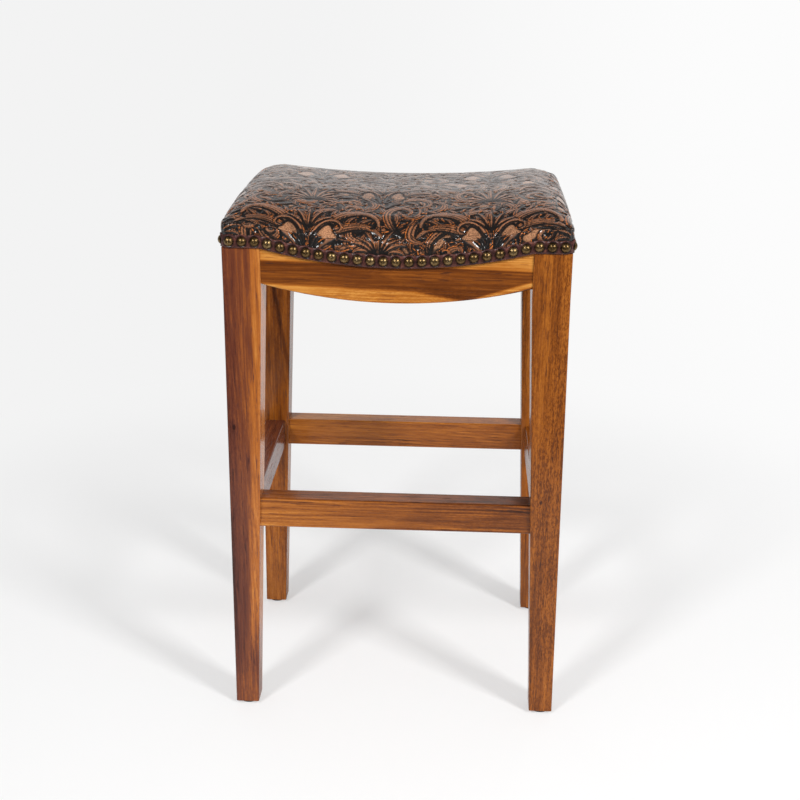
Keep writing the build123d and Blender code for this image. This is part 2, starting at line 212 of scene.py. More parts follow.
sweep_half_width = 6.0
for vertex in sweep.data.vertices:
    run = (vertex.co.y + 1) / 2 * (sweep_flat + sweep_rise)
    angle = min(max(run - sweep_flat, 0) / sweep_radius, math.pi / 2)
    rest = max(run - sweep_flat - sweep_radius * math.pi / 2, 0)
    y = sweep_front + min(run, sweep_flat) + sweep_radius * math.sin(angle)
    z = sweep_radius * (1 - math.cos(angle)) + rest
    vertex.co = (vertex.co.x * sweep_half_width, y, z)
bpy.ops.object.shade_smooth()
sweep.data.materials.append(paper.material)

lamp_aim = Vector((0, 0, 0.35))
lamp_tallness = 1.2
lamps = (("lamp_left", (-1.3, -2.1, 2.2), 0.50, 45), ("lamp_right", (2.35, -2.1, 2.4), 0.65, 90))
for lamp_name, lamp_place, lamp_width, power in lamps:
    bpy.ops.object.light_add(type="AREA", location=lamp_place)
    lamp = bpy.context.object
    lamp.name = lamp_name
    lamp.data.shape = "RECTANGLE"
    lamp.data.size = lamp_width
    lamp.data.size_y = lamp_width * lamp_tallness
    lamp.data.energy = power
    lamp.rotation_euler = (lamp_aim - lamp.location).to_track_quat("-Z", "Y").to_euler()

backdrop_level = 0.93
world = bpy.data.worlds.new("studio_light")
world.use_nodes = True
sky = world.node_tree
direction = Tone(sky, sky.nodes.new("ShaderNodeTexCoord").outputs["Generated"])
behind = direction.part(1).step(0.78, 0.975)
above = direction.part(2).step(0.2, 0.95)
room = 0.36 + above * 0.06
to_mirror = ray(direction, "Glossy")
in_mirror = to_mirror * (0.10 + behind * 0.90 - room)
level = room + in_mirror + ray(direction, "Camera") * (backdrop_level - room)
sky_colour = to_mirror.mix(tint(255, 255, 255), tint(255, 240, 236))
feed(sky, sky.nodes["Background"], {"Strength": level, "Color": sky_colour})
bpy.context.scene.world = world


# Legs: solid orange-brown hardwood, square at the top and tapered down to the foot from just
# below the aprons, mortised for the rails and finished in a rubbed half-gloss lacquer.
def dress(node, finish):
    """Give a node of the frame its finish."""
    for place in nodes[node].material_slots:
        place.material = finish.material


def hardwood(node, along, seed, tones, shape=None, bands=0.30, rings=0.16, flecks=0.10,
             ring_width=0.0035, lean=(0.03, 0.05)):
    """Lacquered wood for one node, its grain along one axis: growth rings, fibres, open pores,
    soft colour bands and curly flecks. Shape adds the light and dark places of the one board,
    and on some parts painted shade and painted highlights."""
    wood = Finish(f"wood_{node}", Specular_IOR_Level=0.22, Coat_Weight=0.12, Coat_Roughness=0.08)
    order = {"x": (1, 2, 0), "y": (0, 2, 1), "z": (0, 1, 2)}[along]
    here = [wood.place.part(i) for i in range(3)]
    across, deep, length = [here[i] for i in order]
    turned = wood.place.node("ShaderNodeCombineXYZ", {}, {0: across, 1: deep, 2: length})
    where = turned.moved(seed, 2 * seed, 3 * seed)
    pith = (0.09, 0.05)
    sway = where.scaled(9, 9, 2.2).grain(2.0) - 0.5
    sway_deep = where.moved(5, 5, 5).scaled(14, 14, 3.0).grain(2.0) - 0.5
    from_pith = across + pith[0] + length * lean[0] + sway * 0.03
    deep_from_pith = deep + pith[1] + length * lean[1] + sway_deep * 0.03
    radius = (from_pith * from_pith + deep_from_pith * deep_from_pith) ** 0.5
    ring = (radius * (2 * math.pi / ring_width)).math("SINE")
    band = where.scaled(55, 55, 1.6).grain(3.0, 0.55, 0.5) - 0.5
    fibre = where.scaled(520, 520, 16).grain(2.0, 0.65) - 0.5
    pore = where.scaled(760, 760, 45).grain(1.0, 0.5).step(0.60, 0.68)
    patch = where.scaled(170, 170, 5).grain(2.0).step(0.42, 0.62)
    streak = where.scaled(380, 380, 3.5).grain(2.0, 0.6) - 0.5
    mottle = where.scaled(110, 110, 16).grain(2.0, 0.6, 1.0) - 0.5
    value = 0.5 + band * (2 * bands) + ring * (rings * 0.5) * patch
    value = value + fibre * 0.40 - pore * patch * 0.30 + streak * 0.40 + mottle * 0.36
    curl = where.scaled(640, 640, 210).grain(2.0, 0.6, 0.6).step(0.38, 0.58) - 0.6
    curly = where.scaled(26, 26, 4).grain(1.0).step(0.30, 0.65) * 0.7 + 0.3
    value = value + curl * flecks * curly
    if shape:
        value = value + shape(*here)
    height = fibre * 0.5 - pore * patch
    wood.set(
        Base_Color=value.ramp(*tones),
        Roughness=0.27 + pore * 0.2 + band * 0.1,
        Normal=height.bump(0.00012, 0.6),
    )
    dress(node, wood)


dark_wood = (
    (0.0, tint(50, 20, 14)),
    (0.28, tint(90, 45, 32)),
    (0.5, tint(116, 62, 36)),
    (0.75, tint(170, 98, 40)),
    (1.0, tint(212, 142, 70)),
)
gold_wood = (
    (0.0, tint(58, 26, 8)),
    (0.3, tint(102, 52, 16)),
    (0.5, tint(138, 76, 24)),
    (0.75, tint(176, 106, 38)),
    (1.0, tint(214, 150, 72)),
)
leg_inner_edge = 0.154
taper_top = 0.555
taper_slope = 0.0378
left_knot = (-0.1915, 0.3895)
right_knot = (0.176, 0.301)


def knot_distance(x, z, knot, narrow):
    """Distance from a knot that is longer up the leg than across it."""
    across = x - knot[0]
    up = z - knot[1]
    return (across * across * narrow + up * up) ** 0.5


def left_leg_stripes(x, y, z):
    """Dark heartwood on the outer side, a pale strip of sapwood along the inner edge, and a knot."""
    inner = leg_inner_edge + (taper_top - z).math("MAXIMUM", 0.0) * taper_slope
    from_edge = x * -1 - inner
    sap = (1 - from_edge.step(0.006, 0.0175)) * z.step(0.03, 0.16)
    heart = from_edge.step(0.020, 0.034)
    foot = (1 - z.step(0.15, 0.45)) * z.step(0.02, 0.12)
    knot = knot_distance(x, z, left_knot, 3.0)
    eye = (1 - knot.step(0.0015, 0.0045)) * 0.5
    halo = (1 - knot.step(0.004, 0.013)) * 0.12
    return sap * (0.24 + foot * 0.30) - heart * 0.19 - foot * 0.24 - eye - halo + 0.02


def right_leg_stripes(x, y, z):
    """A light streak down the middle that fades below the apron, and a small knot."""
    slant = x - 0.170 - (0.60 - z) * 0.02
    streak = 1 - slant.math("ABSOLUTE").step(0.002, 0.011)
    eye = 1 - knot_distance(x, z, right_knot, 2.0).step(0.001, 0.004)
    return streak * z.step(0.28, 0.50) * 0.16 - eye * 0.5 - 0.08


def back_leg_streak_and_shade(x, y, z):
    """A dark streak that crosses the leg slantwise above the stretchers, and painted shade
    that darkens the leg towards the top, under the apron.
    """
    slant = x + 0.179 - (0.485 - z) * 0.15
    streak = (1 - slant.math("ABSOLUTE").step(0.0008, 0.0045)) * z.step(0.34, 0.40)
    # painted shade: darker towards the top, under the apron
    return (0.5 - z) * 0.25 - 0.05 - streak * 0.26


hardwood("leg_front_left", "z", 1.3, dark_wood, left_leg_stripes, bands=0.20, rings=0.10)
hardwood("leg_front_right", "z", 4.1, gold_wood, right_leg_stripes, bands=0.24, rings=0.06, flecks=0.24)
hardwood("leg_back_left", "z", 7.7, gold_wood, back_leg_streak_and_shade, bands=0.25)
hardwood("leg_back_right", "z", 9.2, gold_wood, bands=0.25)


# Aprons: four rails tenoned into the legs under the seat, the front and back ones
# sawn to its curve. The front one has a dark heart band between paler edges.
def front_apron_bands(x, y, z):
    """Dark middle, pale above it at the ends, pale below it, and a pale streak at the right."""
    upper = (z + x * 0.024).step(0.5885, 0.5915)
    fall = (x - 0.02).math("MAXIMUM", 0.0) * 0.14
    lower = 1 - (z + x * 0.038 + fall).step(0.5590, 0.5635)
    slant = z - 0.5569 - (x - 0.107) * 0.31
    streak = (1 - slant.math("ABSOLUTE").step(0.0012, 0.0046)) * x.step(0.082, 0.098)
    return (upper + lower + streak).math("MINIMUM", 1.0) * 0.54 - 0.18


hardwood("apron_front", "x", 2.4, gold_wood, front_apron_bands, bands=0.22, rings=0.12, flecks=0.08)
hardwood("apron_back", "x", 5.6, gold_wood, lambda x, y, z: z.step(0.55, 0.60) * 0.1)
hardwood("apron_left", "y", 6.3, gold_wood)
hardwood("apron_right", "y", 8.8, gold_wood)


# Stretchers: four straight rails tenoned into the legs at footrest height,
# from stripy boards that darken towards the right. The front one's top face carries
# painted shade from the seat above, the back one's a painted highlight.
top_face = (0.2932, 0.2938)


def front_stretcher_bands_and_shade(x, y, z):
    """Dark towards the right, with painted shade on the top face under the seat."""
    # painted shade on the top face, under the seat
    return 0.02 - x * 1.25 - z.step(*top_face) * 0.26


def back_stretcher_bands_and_highlight(x, y, z):
    """Dark towards the right, with a painted highlight on the top face."""
    # painted highlight on the top face
    return 0.03 - x * 0.45 + z.step(*top_face) * 0.10


hardwood("stretcher_front", "x", 3.5, gold_wood, front_stretcher_bands_and_shade,
         bands=0.24, rings=0.34, ring_width=0.006, lean=(0.03, 0.02))
hardwood("stretcher_back", "x", 1.9, gold_wood, back_stretcher_bands_and_highlight, bands=0.20, rings=0.14)
hardwood("stretcher_left", "y", 5.2, dark_wood, lambda x, y, z: -0.14)
hardwood("stretcher_right", "y", 2.8, gold_wood, lambda x, y, z: -0.05)


# Corner blocks: sawn pale softwood glued and screwed inside the aprons.
# The screws are zinc plated steel, and the same steel nails hold the glides.
corners = ("front_left", "front_right", "back_left", "back_right")
softwood_tones = ((0.3, tint(176, 132, 82)), (0.5, tint(206, 166, 112)), (0.7, tint(222, 188, 138)))
for number, corner in enumerate(corners):
    softwood = Finish(f"softwood_{corner}", Roughness=0.75)
    seed = 3.1 * number
    where = softwood.place.moved(seed, seed, seed)
    fibre = where.scaled(300, 300, 30).grain(3.0, 0.6)
    saw_marks = where.scaled(40, 40, 700).grain(1.0)
    value = fibre * 0.8 + saw_marks * 0.2
    softwood.set(Base_Color=value.ramp(*softwood_tones), Normal=value.bump(0.0004, 0.5))
    dress(f"corner_block_{corner}", softwood)

steel = Finish("zinc_plate", Metallic=1.0)
spangle = steel.place.scaled(260, 260, 260).grain(2.0)
steel.set(
    Base_Color=spangle.ramp((0.3, tint(150, 152, 156)), (0.7, tint(196, 198, 200))),
    Roughness=0.28 + spangle * 0.25,
)
for node in ("corner_block_screws", "seat_screws", "glide_nails"):
    dress(node, steel)


# Glides: hard black plastic discs nailed under the legs,
# scuffed and greyed by the floor.
plastic = Finish("glide_plastic")
scuff = plastic.place.scaled(900, 900, 300).grain(3.0, 0.6)
plastic.set(
    Base_Color=scuff.ramp((0.35, tint(14, 14, 15)), (0.75, tint(52, 50, 48))),
    Roughness=0.38 + scuff * 0.3,
    Normal=scuff.bump(0.0001, 0.5),
)
for corner in corners:
    dress(f"foot_glide_{corner}", plastic)


# Seat board: curved plywood under the padding, its plies showing at the edge.
# It carries the foam, and the upholstery nails and tacks bite into it.
plywood = Finish("seat_plywood", Roughness=0.7)
face_grain = plywood.place.scaled(12, 260, 40).grain(4.0, 0.6, 0.6)
plies = (plywood.place.part(2) * 2400).math("SINE") * 0.06
board_tones = ((0.3, tint(168, 124, 78)), (0.5, tint(202, 162, 110)), (0.7, tint(220, 186, 138)))
plywood.set(Base_Color=(face_grain + plies).ramp(*board_tones), Normal=face_grain.bump(0.0003, 0.5))
dress("seat_board", plywood)


# Padding: one slab of seat foam glued on the board, cut and pulled down into a saddle,
# crowned across its depth. The leather's lining has the same form, so both are made here:
# a sheet of rings round the seat, puffed by a cloth simulation that is held at the walls.
seat_half_x, seat_half_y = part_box("seat_cover")[1].xy
frame_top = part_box("leg_front_left")[1].z
saddle_dip = 0.020
saddle_half = 0.154
saddle_radius = (saddle_half**2 + saddle_dip**2) / (2 * saddle_dip)
wall_height = 0.027
wall_bulge = 0.0006
edge_run = 0.038
roll_length = 0.052
end_top = 0.660
middle_top = 0.652
crown_front = 0.0095
crown_back = 0.0050
corner_radius = 0.0095
pleat_reach = 0.35
leather_thickness = 0.0015
board_thickness = 0.016
glue_gap = 0.0002
foam_gap = 0.0003
wall_cells = 5
edge_cells = 9
long_cells = 64
deep_cells = 46
puff_frames = 12
puff_pressure = 4.0
puff_limit = 0.002
held_cells = 14


def points_of(piece, what="co"):
    """Place, or normal, of each of a mesh's vertices."""
    values = np.empty(len(piece.data.vertices) * 3, np.float32)
    piece.data.vertices.foreach_get(what, values)
    return values.reshape(-1, 3)


def put_points(piece, places):
    """Move a mesh's vertices to new places."""
    piece.data.vertices.foreach_set("co", places.astype(np.float32).ravel())
    piece.data.update()


def new_grid(name, columns, rows):
    """A flat grid, two metres across, with the column and row of each of its vertices."""
    bpy.ops.object.select_all(action="DESELECT")
    bpy.ops.mesh.primitive_grid_add(x_subdivisions=columns, y_subdivisions=rows, size=2)
    piece = bpy.context.object
    piece.name = name
    flat = points_of(piece)
    return piece, np.rint((flat[:, 0] + 1) / 2 * columns), np.rint((flat[:, 1] + 1) / 2 * rows)


def weld(distance):
    """Join doubled points of the mesh in hand, turn its faces outward and smooth it."""
    bpy.ops.object.mode_set(mode="EDIT")
    bpy.ops.mesh.select_all(action="SELECT")
    bpy.ops.mesh.remove_doubles(threshold=distance)
    bpy.ops.mesh.normals_make_consistent(inside=False)
    bpy.ops.object.mode_set(mode="OBJECT")
    bpy.ops.object.shade_smooth()


def saddle(x):
    """Height of the underside of the seat at x."""
    inside = np.minimum(np.abs(x), saddle_half)
    return frame_top - (np.sqrt(saddle_radius**2 - inside**2) - (saddle_radius - saddle_dip))


def cushion_places(row, column, cuts, inset, low):
    """Places on the cushion of a grid whose outer rings run down its walls, where they lie on
    the flat hide, and how many cells they are from the fold at a corner."""
    walls = wall_cells * cuts
    edges = edge_cells * cuts
    rings = walls + edges
    total_x = long_cells * cuts + 2 * rings
    total_y = deep_cells * cuts + 2 * rings
    flat_x = seat_half_x - edge_run
    flat_y = seat_half_y - edge_run
    from_x = np.minimum(column, total_x - column)
    from_y = np.minimum(row, total_y - row)
    ring = np.minimum(np.minimum(from_x, from_y), rings)
    on_side = from_x < from_y
    is_ring = ring < rings

    # how far each ring has come up the wall and in over the rounded edge
    drop = np.clip(1 - ring / walls, 0, 1)
    over_edge = np.clip((ring - walls) / edges, 0, 1)
    turn = over_edge * (math.pi / 2)
    offset = edge_run * (1 - np.cos(turn))
    rise = np.sin(turn)
    rolled_in = offset * (1 - inset / edge_run)
    half_x = seat_half_x - inset - rolled_in
    half_y = seat_half_y - inset - rolled_in
    round_off = np.minimum(corner_radius - inset + 0.6 * offset, np.maximum(half_x - flat_x, 0))

    # where a point stands along its ring, and how the ring bends round the corner
    reach_x = half_x - flat_x - round_off
    arc = round_off * (math.pi / 4)
    cells = np.maximum(rings - ring, 1e-9)
    past_column = np.maximum(rings - column, column - (total_x - rings)) / cells
    past_row = np.maximum(rings - row, row - (total_y - rings)) / cells
    past = np.clip(np.where(on_side, past_row, past_column), 0, 1) * (reach_x + arc)
    straight = np.minimum(past, reach_x)
    bend = np.where(round_off > 1e-7, (past - straight) / np.maximum(round_off, 1e-7), 0)
    along = straight + round_off * np.sin(bend)
    inward = round_off * (1 - np.cos(bend))
    sign_x = np.sign(column - total_x / 2)
    sign_y = np.sign(row - total_y / 2)
    grid_x = np.interp(column, (rings, total_x - rings), (-flat_x, flat_x))
    grid_y = np.interp(row, (rings, total_y - rings), (-flat_y, flat_y))
    ring_x = np.where(past > 0, sign_x * (flat_x + along), grid_x)
    ring_y = np.where(past > 0, sign_y * (flat_y + along), grid_y)
    x = np.where(is_ring, np.where(on_side, sign_x * (half_x - inward), ring_x), grid_x)
    y = np.where(is_ring, np.where(on_side, ring_y, sign_y * (half_y - inward)), grid_y)

    # heights of the top, which dips in the middle and falls off towards front and back
    wall_top = saddle(x) + wall_height
    near_x = np.clip(x, -flat_x, flat_x)
    crown = np.where(y < 0, crown_front, crown_back) * np.abs(y / flat_y) ** 3
    top = middle_top + (end_top - middle_top) * (near_x / flat_x) ** 2 - crown - inset
    z = wall_top + (top - wall_top) * rise - drop * (wall_height - low)

    # the same points on the flat hide, measured over the edge and down the wall
    hide_run = roll_length * (1 - over_edge) + drop * wall_height
    hide_x = np.where(past > 0, sign_x * (flat_x + past), grid_x)
    hide_y = np.where(past > 0, sign_y * (flat_y + past), grid_y)
    u = np.where(on_side & is_ring, sign_x * (flat_x + hide_run), hide_x)
    v = np.where(on_side & is_ring, hide_y, np.where(is_ring, sign_y * (flat_y + hide_run), grid_y))
    pleat = np.where(is_ring & (ring < walls + edges * pleat_reach), np.abs(from_x - from_y), 1e3)
    bulge = wall_bulge * np.sin((1 - drop) * math.pi) * (ring <= walls)
    x = x + np.where(on_side & is_ring, sign_x * bulge, 0)
    y = y + np.where(on_side | ~is_ring, 0, sign_y * bulge)
    return np.stack((x, y, z), axis=-1), u, v, pleat


def cushion_sheet(name, cuts, inset, low):
    """Grid mesh laid over the cushion, its cells five millimetres wide or a share of that."""
    rings = wall_cells + edge_cells
    sheet, column, row = new_grid(name, (long_cells + 2 * rings) * cuts, (deep_cells + 2 * rings) * cuts)
    places, u, v, pleat = cushion_places(row, column, cuts, inset, low)
    put_points(sheet, places)
    return sheet, row, column, u, v, pleat


lining, lining_row, lining_column = cushion_sheet("leather_lining", 1, leather_thickness, glue_gap)[:3]
lining_rest = points_of(lining)
puff = np.zeros_like(lining_rest)
held = lining.vertex_groups.new(name="held")
rings_in = np.minimum(
    np.minimum(lining_column, lining_column.max() - lining_column),
    np.minimum(lining_row, lining_row.max() - lining_row),
)
for index, ring in enumerate(rings_in):
    held.add([index], float(np.clip(1.15 - ring / held_cells, 0, 1)), "REPLACE")
cloth = lining.modifiers.new("puff", "CLOTH")
cloth.settings.vertex_group_mass = "held"
cloth.settings.use_pressure = True
cloth.settings.uniform_pressure_force = puff_pressure
cloth.settings.effector_weights.gravity = 0
cloth.settings.quality = 4
for frame_number in range(1, puff_frames + 1):
    bpy.context.scene.frame_set(frame_number)
bpy.ops.object.modifier_apply(modifier="puff")
bpy.context.scene.frame_set(1)
puff = points_of(lining) - lining_rest
reach = np.linalg.norm(puff, axis=1, keepdims=True)
puff *= np.minimum(1, puff_limit / np.maximum(reach, 1e-9))
put_points(lining, lining_rest + puff)

foam = Finish("seat_foam", Roughness=0.9)
cells = foam.place.scaled(900, 900, 900).grain(2.0, 0.6)
foam.set(
    Base_Color=cells.ramp((0.3, tint(196, 186, 150)), (0.7, tint(236, 230, 204))),
    Normal=cells.bump(0.0006, 0.7),
)
pad = cushion_sheet("seat_pad", 1, leather_thickness + foam_gap, board_thickness)[0]
put_points(pad, points_of(pad) + puff)
bpy.ops.object.mode_set(mode="EDIT")
bpy.ops.mesh.select_all(action="SELECT")
bpy.ops.mesh.duplicate()
bpy.ops.mesh.flip_normals()
bpy.ops.object.mode_set(mode="OBJECT")
for vertex in pad.data.vertices:
    if vertex.select:
        vertex.co.z = float(saddle(vertex.co.x)) + board_thickness + glue_gap
weld(0.0004)
pad.data.materials.append(foam.material)
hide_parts("seat_foam")
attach(pad, "root")


# Leather: one hide pulled tight over the foam and folded under at the corners, pressed all
# over with acanthus scrolls. The pressed grooves hold dark dye and the ridges are rubbed
# back to copper brown. The scrolls are drawn leaf by leaf on the flat hide. Painted shade
# darkens the roots and shaded sides of the leaves, the corner folds and the front roll,
# painted copper highlights line the leaves' lit edges, and a painted sheen pales the top.
hide_cell = 0.0006
hide_half_u = 0.262
hide_half_v = 0.212
leaf_edge = 0.0009
hollow_edge = 0.0007
hide_u = np.arange(-hide_half_u, hide_half_u, hide_cell)
hide_v = np.arange(-hide_half_v, hide_half_v, hide_cell)
relief = np.zeros((len(hide_v), len(hide_u)), np.float32)
# dark field: dye in the pressed grooves, with painted shade on the leaves
groove = np.zeros_like(relief)
# copper field: rubbed ridges, with painted highlights on the lit edges
rubbed = np.zeros_like(relief)
ground = np.ones_like(relief)
chance = np.random.default_rng(11)


def scroll_line(start, heading, length, first_bend, last_bend, steps=40):
    """Middle line of a leaf that leaves start along heading, its bend growing towards the tip."""
    share = np.linspace(0, 1, steps)
    angle = heading + length * (first_bend * share + (last_bend - first_bend) * share**3 / 3)
    step = length / (steps - 1)
    x = start[0] + np.concatenate(([0], np.cumsum(np.cos(angle[:-1]) * step)))
    y = start[1] + np.concatenate(([0], np.cumsum(np.sin(angle[:-1]) * step)))
    return np.stack((x, y), axis=-1), angle


def swell(width, *shares):
    """Half widths along a leaf, from its foot to its tip."""
    return [width * share for share in shares]


def near_line(line, widths, edge):
    """Cells of the hide round a line: their box, which are inside its width, and for each cell
    its place in the edge round the leaf, its place across the leaf and its place along it."""
    margin = max(widths) + 2 * edge
    hide_half = (hide_half_u, hide_half_v)
    hide_size = (len(hide_u), len(hide_v))
    low = ((line.min(axis=0) - margin + hide_half) / hide_cell).astype(int)
    high = ((line.max(axis=0) + margin + hide_half) / hide_cell).astype(int) + 1
    first_u, first_v = np.clip(low, 0, hide_size)
    last_u, last_v = np.clip(high, 0, hide_size)
    u, v = np.meshgrid(hide_u[first_u:last_u], hide_v[first_v:last_v])
    starts = line[:-1]
    ways = line[1:] - starts
    squares = (ways**2).sum(axis=1)
    du = u[..., None] - starts[:, 0]
    dv = v[..., None] - starts[:, 1]
    share = np.clip((du * ways[:, 0] + dv * ways[:, 1]) / squares, 0, 1)
    far_u = du - share * ways[:, 0]
    far_v = dv - share * ways[:, 1]
    along = (np.arange(len(starts)) + share) / len(starts)
    wide = np.interp(along, np.linspace(0, 1, len(widths)), widths)
    distances = np.sqrt(far_u**2 + far_v**2)
    nearest = (distances - wide).argmin(axis=-1)[..., None]
    distance, part, width, near_u, near_v = [
        np.take_along_axis(values, nearest, -1)[..., 0] for values in (distances, along, wide, far_u, far_v)
    ]
    nearest = nearest[..., 0]
    side = np.sign(ways[nearest, 0] * near_v - ways[nearest, 1] * near_u)
    across = side * distance / np.maximum(width, 1e-5)
    box = (slice(first_v, last_v), slice(first_u, last_u))
    return box, distance < width, (distance - width) / edge, across, part


def press_leaf(line, widths, flutes, lift, shade_side):
    """Press one leaf into the hide, over whatever was pressed before."""
    box, inside, rim, across, part = near_line(line, widths, leaf_edge)
    around = (rim >= 0) & (rim < 1)
    dome = np.sqrt(np.clip(1 - across**2, 0, 1))
    wave = np.cos(2 * math.pi * flutes * (across * 0.5 + 0.5))
    fade = np.clip(np.minimum(part * 8, (1 - part) * 6), 0, 1) * (flutes > 0)
    valley = fade * np.clip(0.5 - 0.5 * wave, 0, 1) ** 2
    crest = fade * np.clip(0.5 + 0.5 * wave, 0, 1) ** 5
    height = lift * (0.25 + 0.75 * dome) - 0.40 * lift * valley
    bank = -0.7 * (1 - rim) + relief[box] * rim
    relief[box] = np.where(inside, height, np.where(around, bank, relief[box]))
    # painted shade: the leaf darkens towards its root, where leaves crowd, and on its shaded side; the
    # flute valleys hold dye
    root = 0.75 * np.clip(1 - part * 3.2, 0, 1) * (flutes > 0)
    shade = np.clip(across * shade_side - 0.1, 0, 1) * 0.6
    dark = np.clip(0.62 * valley + root + shade, 0, 1)
    dyed_bank = np.maximum(0.9 - 0.9 * rim**2, groove[box])
    groove[box] = np.where(inside, dark, np.where(around, dyed_bank, groove[box]))
    # painted highlight: copper along the leaf's lit edge, away from its shade side; the flute crests are
    # rubbed copper
    lit_edge = np.clip(-across * shade_side * 3.2 - 2.2, 0, 1)
    warm = np.clip(lit_edge + crest * 0.30, 0, 1) * (1 - dark)
    rubbed[box] = np.where(inside, warm, np.where(around, 0, rubbed[box]))
    ground[box] = np.where(inside | around, 0, ground[box])


def press_hollow(line, widths, shade_side):
    """Press one dark hollow into the hide, with a painted copper highlight on its rim on the
    side away from its shade.
    """
    box, inside, rim, across, _ = near_line(line, widths, hollow_edge)
    around = (rim >= 0) & (rim < 1)
    relief[box] = np.where(inside, -0.9, relief[box])
    groove[box] = np.where(inside, 1, groove[box])
    rubbed[box] = np.where(inside, 0, np.where(around & (across * shade_side < 0), 1, rubbed[box]))
    ground[box] = np.where(inside | around, 0, ground[box])


def frond(start, heading, length, turn, width, flutes, lobes, lift=1.0, straight=0.25):
    """One acanthus leaf: a fluted blade that rolls up, with lobes and hollows on its outer side."""
    way = 1 if turn > 0 else -1
    first_bend = straight * turn / length
    last_bend = first_bend + 3 * (turn / length - first_bend)
    line, angle = scroll_line(start, heading, length, first_bend, last_bend)
    outward = np.stack((np.sin(angle), -np.cos(angle)), axis=-1) * way
    for number in reversed(range(lobes)):
        at = int(len(line) * (0.20 + 0.66 * number / lobes))
        size = width * (3.3 - 1.2 * number / lobes)
        root = line[at] + outward[at] * width * 0.35
        lobe = scroll_line(root, angle[at] - way * 0.75, size, way * 0.2 / size, way * 2.2 / size, 14)[0]
        press_leaf(lobe, swell(width, 0.34, 0.48, 0.46, 0.32, 0.05), 2, lift * 0.8, way)
    press_leaf(line, swell(width, 0.30, 0.62, 0.90, 1.0, 0.94, 0.74, 0.50, 0.26), flutes, lift, way)
    for number in range(lobes):
        at = int(len(line) * (0.20 + 0.66 * (number + 0.75) / lobes))
        root = line[at] + outward[at] * width * 1.15
        bends = (way * 0.5 / width, way * 1.4 / width)
        hole = scroll_line(root, angle[at] - way * 0.55, width * 0.95, *bends, 8)[0]
        press_hollow(hole, swell(width, 0.06, 0.30, 0.34, 0.20, 0.03), way)
    root = line[-1] - outward[-1] * width * 0.55
    bends = (way * 0.8 / width, way * 1.6 / width)
    eye = scroll_line(root, angle[-1] + way * 0.4, width * 1.1, *bends, 8)[0]
    press_hollow(eye, swell(width, 0.12, 0.34, 0.36, 0.20, 0.04), way)


def flame(start, heading, length, turn, width, flutes, lift):
    """Plain pointed leaf that bends one way."""
    way = 1 if turn > 0 else -1
    line = scroll_line(start, heading, length, 0.4 * turn / length, 2.2 * turn / length, 24)[0]
    press_leaf(line, swell(width, 0.35, 0.75, 1.0, 0.9, 0.6, 0.10), flutes, lift, way)


def clearing(at_u, at_v, radius_u, radius_v):
    """Patch of open ground with a dark edge, where only the pebbled hide shows."""
    u, v = np.meshgrid(hide_u, hide_v)
    angle = np.arctan2(v - at_v, u - at_u)
    wavy = 0.10 * np.sin(3 * angle + at_u * 90) + 0.05 * np.sin(7 * angle)
    share = np.hypot((u - at_u) / radius_u, (v - at_v) / radius_v) + wavy
    for field, value in ((relief, -0.2), (groove, 0), (rubbed, 0), (ground, 1)):
        field[share < 1] = value
    groove[(share >= 1) & (share < 1.10)] = 0.8


up = math.pi / 2


def plume(at_u, at_v, size):
    """Fountain of broad leaves and rolled stems that spread from one foot to both sides."""
    for side in (-1, 1):
        foot = (at_u + side * 0.006 * size, at_v)
        frond(foot, up - side * 0.42, 0.088 * size, -side * 2.3, 0.0064 * size, 4, 4, 0.9, 0.5)
        frond(foot, up - side * 0.18, 0.106 * size, -side * 3.0, 0.0062 * size, 4, 5, 1.0, 0.3)
        clearing(at_u + side * 0.0185 * size, at_v + 0.021 * size, 0.0105 * size, 0.017 * size)
        foot = (at_u + side * 0.012 * size, at_v)
        flame(foot, up - side * 0.62, 0.024 * size, -side * 1.2, 0.0022 * size, 0, 0.8)
        foot = (at_u + side * 0.027 * size, at_v + 0.001)
        hook = scroll_line(foot, up + side * 0.3, 0.016 * size, -side * 40, -side * 420, 16)[0]
        press_hollow(hook, swell(size, 0.0012, 0.0016, 0.0013, 0.0016), side)
        foot = (at_u + side * 0.0035 * size, at_v)
        frond(foot, up - side * 0.03, 0.076 * size, -side * 4.9, 0.0034 * size, 2, 0, 1.1, 0.06)
        for low, long in ((0.10, 0.026), (0.42, 0.019), (0.75, 0.014)):
            foot = (at_u + side * (0.001 + 0.010 * low) * size, at_v + 0.001)
            hole = scroll_line(foot, up - side * low, long * size, -side * 4, -side * 20, 10)[0]
            press_hollow(hole, swell(size, 0.0006, 0.0012, 0.0013, 0.0003), -side)
    for turn in (-2, 2, -1, 1, 0):
        foot = (at_u, at_v + 0.030 * size)
        flame(foot, up + 0.32 * turn, 0.030 * size, 0.5 * turn, 0.0030 * size, 2, 1.1)


def palmette(at_u, at_v, size):
    """Fan of slender leaves that bend outward from one foot, with dark hollows between them."""
    for turn in (-5, 5, -4, 4, -3, 3, -2, 2, -1, 1, 0):
        long = (0.050 - 0.0045 * abs(turn)) * size
        foot = (at_u + 0.0010 * turn * size, at_v)
        flame(foot, up - 0.27 * turn, long, -0.42 * turn, 0.0036 * size, 2, 1.0)
        if turn:
            way = 1 if turn < 0 else -1
            between = up - 0.27 * turn - 0.13 * way
            hole = scroll_line((at_u, at_v), between, long, -5.0 * turn, -14.0 * turn, 20)[0]
            press_hollow(hole[9:17], swell(size, 0.0002, 0.0013, 0.0017, 0.0010, 0.0002), way)


